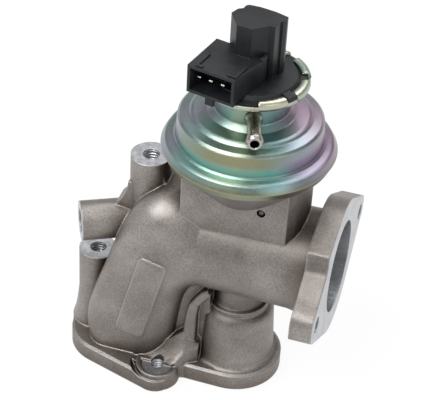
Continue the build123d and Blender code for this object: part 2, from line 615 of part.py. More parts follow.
def terminal(index):
    """Blade terminal of the connector."""
    x = PIN_ROW_X + (index - 1) * PIN_PITCH
    z = sum(SOCKET_Z) / 2 - 0.4
    length = SOCKET_DEPTH - PIN_RECESS
    blade = Pos(x, SOCKET_FRONT + PIN_RECESS + length / 2, z) * Box(PIN_W, length, PIN_T)
    return Rot(0, 0, SENSOR_TURN) * blade


def sensor_plunger():
    return rod(PLUNGER_R, STEM_TOP, CARRIER_Z[1])


def wiper_carrier():
    return tube(CARRIER_R, PLUNGER_R, *CARRIER_Z)


def wiper():
    """Contact spring between the carrier and the track board."""
    low, high = CARRIER_Z
    y = (CARRIER_R + BOARD_Y - WIPER_GAP) / 2
    arm = Pos(0, y - 0.3, (low + high) / 2) * Box(2.0, BOARD_Y - WIPER_GAP - CARRIER_R + 0.6, 3.0)
    return Rot(0, 0, SENSOR_TURN) * (arm - rod(CARRIER_R, low - 1, high + 1))


def plunger_spring():
    low, high = CARRIER_Z[1] + 0.3, CAVITY_Z[1] - 0.35
    path = Helix((high - low) / 5, high - low, 2.6)
    section = Plane(origin=path @ 0, z_dir=path % 0) * RegularPolygon(0.3, 6)
    return Pos(0, 0, low) * sweep(section, path)


def track_board():
    width, thick, height = BOARD
    return (Rot(0, 0, SENSOR_TURN) * Pos(0, BOARD_Y + thick / 2, CAVITY_Z[0] + height / 2)
            * Box(width, thick, height))


def sensor_seal():
    cord = Pos(SEAL_RING_R, CUP_FLOOR_Z + SEAL_CORD_R) * RegularPolygon(SEAL_CORD_R, 8, rotation=22.5)
    return revolve(Plane.XZ * cord, Axis.Z)


def ball_plug():
    x, z = BALL_HOLE
    dome = [(0, BALL_R), (0.9, 1.55), (1.55, 0.9), (BALL_R, 0), (BALL_R, -1.2), (0, -1.2)]
    return Pos(x, -BLOCK_FRONT + 2.0, z) * Rot(90, 0, 0) * turned(dome)


NODES = {
    "housing": housing, "seat_ring": seat_ring, "poppet": poppet, "stem": stem, "guide_bush": guide_bush,
    "scraper_ring": scraper_ring, "stem_seal": stem_seal, "seal_retainer": seal_retainer,
    "lower_plate": lower_plate,
    "diaphragm": diaphragm, "upper_plate": upper_plate, "stem_nut": stem_nut,
    "return_spring": return_spring,
    "actuator_can": actuator_can, "vacuum_nipple": vacuum_nipple, "sensor_cup": sensor_cup,
    "sensor_housing": sensor_housing, "sensor_plunger": sensor_plunger, "wiper_carrier": wiper_carrier,
    "wiper": wiper, "plunger_spring": plunger_spring, "track_board": track_board,
    "sensor_seal": sensor_seal, "ball_plug": ball_plug,
}

if __name__ == "__main__":
    os.makedirs("parts", exist_ok=True)
    for name, make in NODES.items():
        export_step(make(), f"parts/{name}.step")
    for index in range(3):
        export_step(terminal(index), f"parts/terminal_{index + 1}.step")
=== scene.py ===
import json
import math

import bpy
from mathutils import Matrix, Vector


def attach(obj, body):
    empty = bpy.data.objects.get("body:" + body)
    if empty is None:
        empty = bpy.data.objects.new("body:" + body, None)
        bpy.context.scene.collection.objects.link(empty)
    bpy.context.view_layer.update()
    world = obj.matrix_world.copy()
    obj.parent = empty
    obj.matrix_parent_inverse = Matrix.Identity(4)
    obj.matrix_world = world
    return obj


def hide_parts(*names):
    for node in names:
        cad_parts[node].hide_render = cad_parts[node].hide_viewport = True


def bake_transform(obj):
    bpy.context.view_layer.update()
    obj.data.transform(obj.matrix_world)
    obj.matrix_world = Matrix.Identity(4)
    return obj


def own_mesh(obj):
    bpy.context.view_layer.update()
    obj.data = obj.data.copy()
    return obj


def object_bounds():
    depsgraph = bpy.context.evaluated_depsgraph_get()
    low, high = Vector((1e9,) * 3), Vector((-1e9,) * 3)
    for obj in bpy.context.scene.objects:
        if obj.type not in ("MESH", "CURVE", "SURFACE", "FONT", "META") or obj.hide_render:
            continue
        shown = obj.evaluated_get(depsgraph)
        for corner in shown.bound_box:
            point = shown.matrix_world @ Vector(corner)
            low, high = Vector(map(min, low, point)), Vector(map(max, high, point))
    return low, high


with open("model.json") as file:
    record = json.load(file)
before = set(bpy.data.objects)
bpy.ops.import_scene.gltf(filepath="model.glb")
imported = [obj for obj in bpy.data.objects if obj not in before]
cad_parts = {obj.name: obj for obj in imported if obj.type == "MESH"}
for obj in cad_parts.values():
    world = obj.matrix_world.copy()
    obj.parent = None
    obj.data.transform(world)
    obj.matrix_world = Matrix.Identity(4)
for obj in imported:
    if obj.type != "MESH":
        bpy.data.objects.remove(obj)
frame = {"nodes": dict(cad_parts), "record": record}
cad_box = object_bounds()
nodes = frame["nodes"]
scene = bpy.context.scene
MM = 0.001

# ---- materials ----
# sockets of the colour mix node, which has others of the same names for numbers and vectors
MIX_FACTOR, MIX_FIRST, MIX_SECOND, MIX_RESULT = 0, 6, 7, 2


def set_stops(node, stops):
    """Stops of a colour ramp; each is a position and a linear colour or a grey."""
    points = node.color_ramp.elements
    while len(points) < len(stops):
        points.new(0.5)
    for point, (position, value) in zip(points, stops):
        point.position = position
        point.color = (*value, 1) if isinstance(value, tuple) else (value, value, value, 1)


class Shader:
    """A node material built step by step."""

    def __init__(self, name, color, metallic, roughness):
        self.material = bpy.data.materials.new(name)
        self.material.use_nodes = True
        self.tree = self.material.node_tree
        self.out = self.tree.nodes["Principled BSDF"]
        self.out.inputs["Base Color"].default_value = (*color, 1)
        self.out.inputs["Metallic"].default_value = metallic
        self.out.inputs["Roughness"].default_value = roughness
        self.place = self.add("ShaderNodeTexCoord").outputs["Object"]

    def put(self, value, socket):
        """Links another node's output to the socket, or sets it to a plain value."""
        if isinstance(value, bpy.types.NodeSocket):
            self.tree.links.new(value, socket)
        else:
            socket.default_value = value

    def feed(self, node, name, value):
        self.put(value, node.inputs[name])

    def add(self, kind, **inputs):
        node = self.tree.nodes.new(kind)
        for name, value in inputs.items():
            self.feed(node, name.replace("_", " "), value)
        return node

    def noise(self, scale, detail=3.0, roughness=0.55, stretch=None):
        node = self.add("ShaderNodeTexNoise", Scale=scale, Detail=detail, Roughness=roughness)
        source = self.place
        if stretch:
            source = self.add("ShaderNodeMapping", Vector=self.place, Scale=stretch).outputs["Vector"]
        self.feed(node, "Vector", source)
        return node.outputs["Fac"]

    def ramp(self, factor, *stops):
        node = self.add("ShaderNodeValToRGB", Fac=factor)
        set_stops(node, stops)
        return node.outputs["Color"]

    def mix(self, factor, first, second, blend="MIX"):
        node = self.add("ShaderNodeMix")
        node.data_type, node.blend_type = "RGBA", blend
        for index, value in ((MIX_FACTOR, factor), (MIX_FIRST, first), (MIX_SECOND, second)):
            self.put((*value, 1) if isinstance(value, tuple) else value, node.inputs[index])
        return node.outputs[MIX_RESULT]

    def math(self, operation, first, second=0.0):
        node = self.add("ShaderNodeMath")
        node.operation = operation
        self.put(first, node.inputs[0])
        self.put(second, node.inputs[1])
        return node.outputs["Value"]

    def times(self, first, second):
        return self.math("MULTIPLY", first, second)

    def window(self, value, low, high, soft):
        """1 between low and high, fading to 0 over soft on both sides."""
        rise = self.math("DIVIDE", self.math("SUBTRACT", value, low - soft), soft)
        fall = self.math("DIVIDE", self.math("SUBTRACT", high + soft, value), soft)
        return self.math("MAXIMUM", self.math("MINIMUM", self.math("MINIMUM", rise, fall), 1.0), 0.0)

    def coordinates(self):
        split = self.add("ShaderNodeSeparateXYZ", Vector=self.place)
        return split.outputs["X"], split.outputs["Y"], split.outputs["Z"]

    def recess(self, distance):
        """Near 0 in corners and under overhangs, 1 in the open."""
        node = self.add("ShaderNodeAmbientOcclusion", Distance=distance)
        node.samples = 4
        return node.outputs["AO"]

    def bump(self, height, distance, strength, normal):
        node = self.add("ShaderNodeBump", Height=height, Distance=distance, Strength=strength, Normal=normal)
        return node.outputs["Normal"]

    def soft_edges(self, radius):
        node = self.add("ShaderNodeBevel", Radius=radius)
        node.samples = 6
        return node.outputs["Normal"]

    def edge_mask(self, rounded):
        """Bright where the rounded normal leaves the face's own normal, which is along edges."""
        flat = self.add("ShaderNodeNewGeometry").outputs["Normal"]
        node = self.add("ShaderNodeVectorMath")
        node.operation = "DOT_PRODUCT"
        self.put(rounded, node.inputs[0])
        self.put(flat, node.inputs[1])
        return self.math("SUBTRACT", 1.0, node.outputs["Value"])


def cast_aluminium():
    """Blasted casting: matt warm grey, fine grain, cloudy stains, painted brown shade in recesses and painted
    highlights along edges.
    """
    m = Shader("cast_aluminium", (0.36, 0.32, 0.29), 0.8, 0.5)
    clouds = m.noise(38.0, 4.0)
    grain = m.noise(1500.0, 3.0, 0.7)
    tone = m.ramp(clouds, (0.3, (0.172, 0.154, 0.141)), (0.5, (0.240, 0.220, 0.205)),
                  (0.72, (0.332, 0.312, 0.297)))
    speckle = m.ramp(grain, (0.36, 0.66), (0.64, 1.26))
    tone = m.mix(0.75, tone, speckle, "MULTIPLY")
    # painted shade: darker and browner in recesses, corners and under overhangs, a little lighter in the open
    shade = m.ramp(m.recess(15.0 * MM), (0.2, (0.24, 0.19, 0.155)), (0.6, (0.66, 0.60, 0.55)),
                   (0.95, (1.06, 1.06, 1.06)))
    tone = m.mix(1.0, tone, shade, "MULTIPLY")
    rounded = m.soft_edges(1.1 * MM)
    # painted highlight: a pale colour mixed in along edges
    edge_highlight = m.ramp(m.edge_mask(rounded), (0.02, 0.0), (0.16, 1.0))
    tone = m.mix(m.times(edge_highlight, 0.6), tone, (0.60, 0.58, 0.56))
    m.feed(m.out, "Base Color", tone)
    m.feed(m.out, "Roughness", m.ramp(grain, (0.3, 0.38), (0.7, 0.54)))
    relief = m.mix(0.35, grain, m.noise(420.0, 2.0), "ADD")
    m.feed(m.out, "Normal", m.bump(relief, 0.14 * MM, 0.42, rounded))
    return m.material


def machined_aluminium():
    """Milled face: brighter and bluer than the casting, with fine streaks of tool marks and a few stains."""
    m = Shader("machined_aluminium", (0.62, 0.63, 0.65), 0.9, 0.34)
    marks = m.noise(420.0, 2.0, 0.6, (1, 1, 9))
    stains = m.noise(120.0, 3.0)
    tone = m.ramp(marks, (0.3, (0.40, 0.41, 0.43)), (0.7, (0.58, 0.59, 0.61)))
    tone = m.mix(0.5, tone, m.ramp(stains, (0.35, 0.75), (0.6, 1.05)), "MULTIPLY")
    m.feed(m.out, "Base Color", tone)
    m.feed(m.out, "Roughness", m.ramp(marks, (0.3, 0.30), (0.7, 0.44)))
    m.feed(m.out, "Normal", m.bump(marks, 0.05 * MM, 0.4, m.soft_edges(0.4 * MM)))
    return m.material


VIOLET, ROSE, GOLD, TEAL = (0.20, 0.11, 0.23), (0.32, 0.16, 0.24), (0.25, 0.21, 0.10), (0.10, 0.36, 0.29)
FRONT_OF_CAN = 0.711        # puts the film's middle at the can's front
# film colours round the can, by share of a turn
CAN_FILM = [(0.0, (0.33, 0.34, 0.38)), (0.20, (0.28, 0.37, 0.35)), (0.30, (0.33, 0.34, 0.39)),
            (0.38, (0.24, 0.37, 0.35)), (0.47, (0.34, 0.42, 0.33)), (0.56, (0.19, 0.32, 0.32)),
            (0.66, (0.30, 0.31, 0.36)), (0.75, (0.37, 0.30, 0.36)), (0.86, (0.30, 0.36, 0.38)),
            (1.0, (0.33, 0.34, 0.38))]
# patches of stronger film, one also a painted reflection: colour, share, and from, to and fade round the can
# and in height
CAN_PATCHES = [
    (GOLD, 0.7, (0.42, 0.54, 0.10), (121.5, 124.5, 2.5)),       # middle of the wall
    # painted reflection: the bright teal at the wall's foot
    (TEAL, 0.6, (0.38, 0.62, 0.08), (117.6, 119.2, 2.0)),       # foot of the wall: teal film and a painted reflection
    (VIOLET, 0.6, (0.64, 0.76, 0.05), (117.5, 120.5, 2.5)),     # right of the teal
    (ROSE, 0.25, (0.66, 0.80, 0.06), (128.3, 134.0, 1.0)),      # top and neck
    (GOLD, 0.6, (0.36, 0.66, 0.08), (110.0, 113.2, 1.0)),       # lower half of the rim
]
CUP_FILM = [(0.25, (0.40, 0.39, 0.29)), (0.50, (0.52, 0.51, 0.41)), (0.75, (0.36, 0.45, 0.38))]
NIPPLE_FILM = [(0.25, (0.26, 0.30, 0.25)), (0.50, (0.42, 0.40, 0.34)), (0.75, (0.34, 0.30, 0.30))]


def passivated_can():
    """Zinc plate under a passivated film: soft colours round the axis, with patches of stronger film, one of
    them also a painted reflection, painted shade in recesses and painted highlights along edges.
    """
    m = Shader("plated_can", (0.3, 0.3, 0.3), 1.0, 0.33)
    x, y, z = m.coordinates()
    drift = m.times(m.math("SUBTRACT", m.noise(30.0, 2.0, 0.5, (1.0, 1.0, 1.6)), 0.5), 0.16)
    turn = m.math("DIVIDE", m.math("ARCTAN2", y, x), 2 * math.pi)
    turn = m.math("FRACT", m.math("ADD", m.math("ADD", turn, FRONT_OF_CAN), drift))
    level = m.math("ADD", z, m.times(drift, 8.0 * MM))
    tone = m.ramp(turn, *CAN_FILM)
    for color, share, arc, heights in CAN_PATCHES:
        mask = m.times(m.window(turn, *arc), m.window(level, *[height * MM for height in heights]))
        tone = m.mix(m.times(mask, share), tone, color)
    fine = m.noise(900.0, 2.0)
    tone = m.mix(0.24, tone, m.ramp(fine, (0.3, 0.75), (0.7, 1.12)), "MULTIPLY")
    # painted shade: darker in recesses and corners
    tone = m.mix(1.0, tone, m.ramp(m.recess(5.0 * MM), (0.3, 0.42), (0.85, 1.0)), "MULTIPLY")
    rounded = m.soft_edges(0.7 * MM)
    # painted highlight: a pale colour mixed in along edges
    edge_highlight = m.ramp(m.edge_mask(rounded), (0.01, 0.0), (0.12, 1.0))
    tone = m.mix(m.times(edge_highlight, 0.5), tone, (0.62, 0.60, 0.54))
    m.feed(m.out, "Base Color", tone)
    m.feed(m.out, "Roughness", m.ramp(fine, (0.3, 0.31), (0.7, 0.39)))
    m.feed(m.out, "Normal", m.bump(fine, 0.015 * MM, 0.12, rounded))
    return m.material


def plated_sheet(name, film_colors, roughness, swing):
    """Zinc plate whose film, and so its colour, drifts round the axis, with height and with radius; with
    painted shade in recesses and painted highlights along edges.
    """
    m = Shader(name, (0.5, 0.5, 0.5), 1.0, roughness)
    x, y, z = m.coordinates()
    angle = m.math("ARCTAN2", y, x)
    radius = m.math("SQRT", m.math("ADD", m.times(x, x), m.times(y, y)))
    bands = m.math("ADD", m.times(z, 420.0), m.times(radius, 260.0))
    waves = [(m.math("ADD", m.times(angle, 2.0), 1.1), 0.55), (m.math("ADD", angle, 2.6), 0.5), (bands, 0.75)]
    film = 0.0
    for phase, size in waves:
        film = m.math("ADD", film, m.times(m.math("SINE", phase), size * swing))
    film = m.math("ADD", film, m.noise(34.0, 2.0, 0.5, (1.0, 1.0, 2.2)))
    fine = m.noise(900.0, 2.0)
    tone = m.ramp(film, *film_colors)
    tone = m.mix(0.3, tone, m.ramp(fine, (0.3, 0.82), (0.7, 1.1)), "MULTIPLY")
    # painted shade: darker in recesses and corners
    tone = m.mix(1.0, tone, m.ramp(m.recess(5.0 * MM), (0.3, 0.5), (0.85, 1.0)), "MULTIPLY")
    rounded = m.soft_edges(0.7 * MM)
    # painted highlight: a pale colour mixed in along edges
    edge_highlight = m.ramp(m.edge_mask(rounded), (0.01, 0.0), (0.12, 1.0))
    tone = m.mix(m.times(edge_highlight, 0.55), tone, (0.80, 0.80, 0.74))
    m.feed(m.out, "Base Color", tone)
    m.feed(m.out, "Roughness", m.ramp(fine, (0.3, roughness - 0.04), (0.7, roughness + 0.07)))
    m.feed(m.out, "Normal", m.bump(fine, 0.02 * MM, 0.25, rounded))
    return m.material


def black_plastic():
    """Near black, faintly dusty and a little grained."""
    m = Shader("black_plastic", (0.020, 0.021, 0.023), 0.0, 0.42)
    m.out.inputs["Specular IOR Level"].default_value = 0.3
    dust = m.noise(90.0, 4.0)
    grain = m.noise(1900.0, 2.0)
    m.feed(m.out, "Base Color", m.ramp(dust, (0.35, (0.008, 0.009, 0.011)), (0.75, (0.020, 0.021, 0.024))))
    m.feed(m.out, "Roughness", m.ramp(dust, (0.3, 0.36), (0.7, 0.5)))
    m.feed(m.out, "Normal", m.bump(grain, 0.03 * MM, 0.35, m.soft_edges(0.35 * MM)))
    return m.material


def grained(name, color, metallic, roughness, grain_scale, detail, spread, depth):
    """One colour with a fine grain in tone, gloss and relief."""
    m = Shader(name, color, metallic, roughness)
    grain = m.noise(grain_scale, detail)
    low, high = [tuple(c * share for c in color) for share in spread]
    m.feed(m.out, "Base Color", m.ramp(grain, (0.3, low), (0.7, high)))
    m.feed(m.out, "Roughness", m.ramp(grain, (0.3, roughness - 0.05), (0.7, roughness + 0.08)))
    m.feed(m.out, "Normal", m.bump(grain, depth * MM, 0.3, m.soft_edges(0.25 * MM)))
    return m.material


def metal(name, color, roughness):
    return grained(name, color, 1.0, roughness, 420.0, 2.0, (0.85, 1.08), 0.02)


def moulded(name, color, roughness):
    return grained(name, color, 0.0, roughness, 700.0, 3.0, (0.8, 1.15), 0.03)


FINISH = {
    "cast_aluminium": cast_aluminium(),
    "machined_aluminium": machined_aluminium(),
    "plated_can": passivated_can(),
    "plated_cup": plated_sheet("plated_cup", CUP_FILM, 0.30, 0.20),
    "plated_nipple": plated_sheet("plated_nipple", NIPPLE_FILM, 0.26, 0.15),
    "black_plastic": black_plastic(),
    "rubber": moulded("rubber", (0.02, 0.02, 0.02), 0.6),
    "bronze": metal("bronze", (0.45, 0.28, 0.13), 0.4),
    "spring_steel": metal("spring_steel", (0.42, 0.42, 0.43), 0.3),
    "steel": metal("steel", (0.52, 0.51, 0.50), 0.3),
    # painted shade: near-black steel for the ball in its hole
    "painted_shade_steel": metal("painted_shade_steel", (0.12, 0.12, 0.12), 0.4),
    "contact_metal": metal("contact_metal", (0.80, 0.79, 0.76), 0.22),
    "board": moulded("board", (0.05, 0.16, 0.07), 0.3),
    "grey_plastic": moulded("grey_plastic", (0.45, 0.45, 0.42), 0.5),
}
for part in frame["record"]["subparts"]:
    mesh = nodes[part["node"]].data
    mesh.materials.clear()
    mesh.materials.append(FINISH[part["material_slot"]])
nodes["vacuum_nipple"].data.materials[0] = FINISH["plated_nipple"]
# the steel ball is painted dark, as painted shade of the hole it sits in
nodes["ball_plug"].data.materials[0] = FINISH["painted_shade_steel"]

# ---- places on the casting, in millimetres ----
PIPE_Z, PIPE_BORE_R, PIPE_BORE_START = 62.5, 19.0, 16.7
FLANGE_X = cad_box[1][0] / MM
FLANGE_T, FLANGE_PCD, FLANGE_TILT = 9.0, 70.0, math.radians(3.7)
UPPER_BOSS = Vector((-40.4, 2.0, 95.6))
LEFT_BOSS = Vector((-61.8, -0.6, 43.8))
FRONT_EAR, REAR_EAR = Vector((-27.3, -21.9, 6.6)), Vector((-27.3, 21.9, 6.6))
PORT_END, PORT_AXIS = Vector((-66.5, -9.0, 62.5)), Vector((-0.882948, -0.469472, 0))
M8_R, M6_R, PORT_R = 3.4, 2.55, 5.1
M8_PITCH, M6_PITCH, PORT_PITCH = 1.25, 1.0, 1.5
UP, FORWARD = Vector((0, 0, 1)), Vector((1, 0, 0))
FLANGE_HOLES = [Vector((FLANGE_X, side * FLANGE_PCD / 2 * math.cos(FLANGE_TILT),
                        PIPE_Z + side * FLANGE_PCD / 2 * math.sin(FLANGE_TILT))) for side in (-1, 1)]
# each machined hole: mouth, direction out of it, radius, depth, thread pitch
HOLES = {
    "upper_boss": (UPPER_BOSS, UP, M8_R, 13.0, M8_PITCH),
    "left_boss": (LEFT_BOSS, UP, M8_R, 18.0, M8_PITCH),
    "front_ear": (FRONT_EAR, UP, M6_R, 6.4, M6_PITCH),
    "rear_ear": (REAR_EAR, UP, M6_R, 6.4, M6_PITCH),
    "sensor_port": (PORT_END, PORT_AXIS, PORT_R, 15.0, PORT_PITCH),
    "flange_near": (FLANGE_HOLES[0], FORWARD, M8_R, FLANGE_T, M8_PITCH),
    "flange_far": (FLANGE_HOLES[1], FORWARD, M8_R, FLANGE_T, M8_PITCH),
}
ON_FACE = 0.05              # a face's middle this near a milled plane lies in it
ON_BORE = 0.4               # the same for the pipe's bore
SPOT_FACE = 2.5             # reach of the milled face round a hole, in hole radii
SQUARE = 0.99               # cosine between a milled face and its hole's direction
PAST_HOLE, ROUND_HOLE = 0.5, 0.1    # how far a hole's own faces may lie past its end and round it


def is_machined(center, normal):
    """True on the milled faces, in the reamed pipe bore and in the drilled holes."""
    if abs(center.x - FLANGE_X) < ON_FACE or center.z < ON_FACE:
        return True
    if center.x > PIPE_BORE_START and abs(math.hypot(center.y, center.z - PIPE_Z) - PIPE_BORE_R) < ON_BORE:
        return True
    for mouth, out, radius, depth, _ in HOLES.values():
        offset = center - mouth
        along = offset.dot(out)
        away = (offset - along * out).length
        if abs(along) < ON_FACE and normal.dot(out) > SQUARE and away < SPOT_FACE * radius:
            return True
        if -depth - PAST_HOLE < along < ROUND_HOLE and away < radius + ROUND_HOLE:
            return True
    return False


casting = nodes["housing"].data
casting.materials.append(FINISH["machined_aluminium"])
for face in casting.polygons:
    face.material_index = int(is_machined(face.center / MM, face.normal))


def soften_facets(mesh, crease):
    """Shading that runs on over edges flatter than the crease angle, also where the mesh is split there."""
    places = [tuple(round(c / MM, 3) for c in vertex.co) for vertex in mesh.vertices]
    around = {}
    for face in mesh.polygons:
        for vertex in face.vertices:
            around.setdefault(places[vertex], []).append(face)
    normals = []
    for face in mesh.polygons:
        for vertex in face.vertices:
            total = Vector()
            for other in around[places[vertex]]:
                if other.normal.dot(face.normal) > math.cos(crease):
                    total += other.normal * other.area
            normals.append(total.normalized())
    mesh.polygons.foreach_set("use_smooth", [True] * len(mesh.polygons))
    mesh.normals_split_custom_set(normals)


soften_facets(casting, math.radians(38))


# ---- ways to make the pieces that the solids leave out ----
def add_piece(name, points, faces, finish, body="housing_body", smooth=True):
    """A mesh from points in millimetres; it rides on a CAD body, unless none is given."""
    mesh = bpy.data.meshes.new(name)
    mesh.from_pydata([Vector(point) * MM for point in points], [], faces)
    mesh.materials.append(FINISH[finish])
    mesh.polygons.foreach_set("use_smooth", [smooth] * len(mesh.polygons))
    mesh.update()
    shown = bpy.data.objects.new(name, mesh)
    scene.collection.objects.link(shown)
    if body:
        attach(shown, body)
    return shown


def sweep_rings(rings, closed=False):
    """Faces between equal rings of points, with caps at the two ends unless the rings close on themselves."""
    size, count = len(rings[0]), len(rings)
    points = [point for ring in rings for point in ring]
    faces = []
    for i in range(count if closed else count - 1):
        a, b = i * size, (i + 1) % count * size
        faces += [(a + j, a + (j + 1) % size, b + (j + 1) % size, b + j) for j in range(size)]
    if not closed:
        faces += [tuple(range(size))[::-1], tuple(range((count - 1) * size, count * size))]
    return points, faces


def round_axis(radius, height, angle):
    return radius * math.cos(angle), radius * math.sin(angle), height


def arc_piece(name, profile, first, last, steps, finish, body="housing_body", smooth=True):
    """A radius, height profile swept about the valve's axis, over an arc in degrees or all round."""
    full = last - first >= 360
    rings = []
    for step in range(steps if full else steps + 1):
        angle = math.radians(first + (last - first) * step / steps)
        rings.append([round_axis(radius, height, angle) for radius, height in profile])
    points, faces = sweep_rings(rings, closed=full)
    return add_piece(name, points, faces, finish, body, smooth)


# ---- threads ----
# the ridge in shares of the pitch: height, half width of foot and crest, start below the hole's mouth
RIDGE_RISE, RIDGE_FOOT, RIDGE_CREST, RIDGE_START = 0.30, 0.46, 0.06, 0.7
RIDGE_SUNK = 0.08           # how deep its foot lies in the wall
RIDGE_FIRST = 0.1           # share of its height that it starts with
THREAD_STEPS = 20           # sections in one turn


def thread(name, mouth, out, radius, depth, pitch):
    """Helical ridge on the wall of a tapped hole, rising to its height over its first turn."""
    side = out.orthogonal().normalized()
    other = out.cross(side)
    rings = []
    for step in range(int((depth - 2 * pitch) / pitch * THREAD_STEPS) + 1):
        turns = step / THREAD_STEPS
        angle = 2 * math.pi * turns
        radial = side * math.cos(angle) + other * math.sin(angle)
        middle = mouth - out * (RIDGE_START * pitch + pitch * turns)
        foot = radius + RIDGE_SUNK
        crest = radius - RIDGE_RISE * pitch * min(1.0, turns + RIDGE_FIRST)
        section = [(foot, -RIDGE_FOOT), (crest, -RIDGE_CREST), (crest, RIDGE_CREST), (foot, RIDGE_FOOT)]
        rings.append([middle + radial * away + out * along * pitch for away, along in section])
    points, faces = sweep_rings(rings)
    add_piece(name + "_thread", points, faces, "machined_aluminium", smooth=False)


for hole, place in HOLES.items():
    thread(hole, *place)

# ---- crimp tabs of the sensor cup ----
TAB_COUNT, TAB_PITCH, TAB_FIRST, TAB_STEPS = 6, 45.0, -54.0, 14
# rolled section as radius, height and half width in degrees: up the cup's wall, over the top, down the lip
# and back along the underside
TAB_SECTION = [
    (21.45, 141.9, 14.6), (21.66, 142.8, 15.4), (21.68, 143.7, 15.6), (21.42, 144.5, 15.6),
    (20.9, 145.0, 15.5), (20.1, 145.25, 15.2), (19.2, 145.25, 14.6), (18.5, 145.1, 13.6),
    (18.02, 144.75, 12.2), (17.9, 144.35, 11.4), (18.15, 144.02, 11.4), (20.3, 144.02, 14.4),
    (20.55, 143.2, 14.4), (20.6, 141.9, 14.4),
]


def crimp_tab(index):
    """One tab of the cup, rolled over the sensor's base, with rounded corners."""
    middle = math.radians(TAB_FIRST + index * TAB_PITCH)
    rings = []
    for step in range(TAB_STEPS + 1):
        share = math.sin((step / TAB_STEPS - 0.5) * math.pi)
        rings.append([round_axis(radius, height, middle + math.radians(half) * share)
                      for radius, height, half in TAB_SECTION])
    points, faces = sweep_rings(rings)
    add_piece(f"crimp_tab_{index + 1}", points, faces, "plated_cup")


for index in range(TAB_COUNT):
    crimp_tab(index)

# ---- details of the sensor's moulding ----
SENSOR_TURN = math.radians(-12.5)
BOX_TOP = 155.6             # top of the connector's box
SUNK_FOOT = BOX_TOP - 0.3   # where what stands on the box begins
RAIL_TOP, HOOK_TOP = BOX_TOP + 0.75, BOX_TOP + 1.3
RAIL_INSET, CHEEK_INSET = 0.15, 0.2
CHEEK_FOOT = 145.0
LUG_LOW, LUG_HIGH = 140.6, 144.4
LEFT_RAIL = [(-12.7, -22.9), (-9.9, -22.9), (-9.9, -22.1), (-11.8, -22.1), (-11.8, -13.4), (-12.7, -13.4)]
RIGHT_RAIL = [(3.95, -22.3), (3.95, -13.2), (3.05, -13.2), (3.05, -21.5), (0.2, -21.5), (0.2, -22.3)]
CHEEK = [(3.9, -23.5), (6.5, -4.6), (6.6, -3.4), (5.9, -2.2), (4.0, -1.6)]
HOOK = [(5.5, -6.9), (6.5, -6.9), (6.75, -3.6), (6.2, -2.3), (4.9, -1.5), (3.5, -1.7), (3.6, -2.7),
        (4.7, -2.5), (5.4, -3.0), (5.7, -3.9)]
LUG = [(-8.1, -22.9), (-4.6, -22.9), (-4.6, -21.7), (-8.1, -21.7)]


def moulding(name, outline, low, high, top_inset=0.0):
    """Upright prism in the sensor's own axes; the top may be a little smaller."""
    turn = Matrix.Rotation(SENSOR_TURN, 3, "Z")
    center = sum((Vector((*p, 0)) for p in outline), Vector()) / len(outline)
    rings = []
    for height, inset in ((low, 0.0), (high - top_inset, 0.0), (high, top_inset)):
        ring = []
        for point in outline:
            offset = Vector((*point, 0)) - center
            ring.append(turn @ (center + offset * (1 - inset / max(offset.length, 0.01))) + UP * height)
        rings.append(ring)
    points, faces = sweep_rings(rings)
    add_piece(name, points, faces, "black_plastic", smooth=False)


moulding("guide_rail_left", LEFT_RAIL, SUNK_FOOT, RAIL_TOP, RAIL_INSET)
moulding("guide_rail_right", RIGHT_RAIL, SUNK_FOOT, RAIL_TOP, RAIL_INSET)
moulding("box_cheek", CHEEK, CHEEK_FOOT, BOX_TOP, CHEEK_INSET)
moulding("cheek_hook", HOOK, SUNK_FOOT, HOOK_TOP, CHEEK_INSET)
moulding("latch_lug", LUG, LUG_LOW, LUG_HIGH)

# lug of the sensor's base that fills one gap between the crimp tabs
KEY_FIRST, KEY_LAST, KEY_STEPS = -37.4, -25.6, 8
KEY_SECTION = [(17.2, 143.6), (21.3, 143.6), (21.55, 144.0), (21.4, 145.0), (20.9, 145.3), (17.2, 145.45)]
arc_piece("base_key", KEY_SECTION, KEY_FIRST, KEY_LAST, KEY_STEPS, "black_plastic", smooth=False)

# ---- hidden soft pieces; the diaphragm's middle rides on the valve ----
COIL_STEPS, WIRE_SIDES = 24, 8


def coil(name, low, high, radius, wire, turns):
    """Spring wire as a helix, in place of the CAD spring, which it hides."""
    slope = (high - low) / (2 * math.pi * turns * radius)
    corners = [2 * math.pi * side / WIRE_SIDES for side in range(WIRE_SIDES)]
    rings = []
    for step in range(turns * COIL_STEPS + 1):
        angle = 2 * math.pi * step / COIL_STEPS
        radial = Vector((math.cos(angle), math.sin(angle), 0))
        along = Vector((-math.sin(angle), math.cos(angle), slope)).normalized()
        across = along.cross(radial)
        middle = radial * radius + UP * (low + (high - low) * step / (turns * COIL_STEPS))
        rings.append([middle + radial * wire * math.cos(a) + across * wire * math.sin(a) for a in corners])
    points, faces = sweep_rings(rings)
    spring = add_piece(name + "_coil", points, faces, "spring_steel")
    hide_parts(name)
    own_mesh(spring)


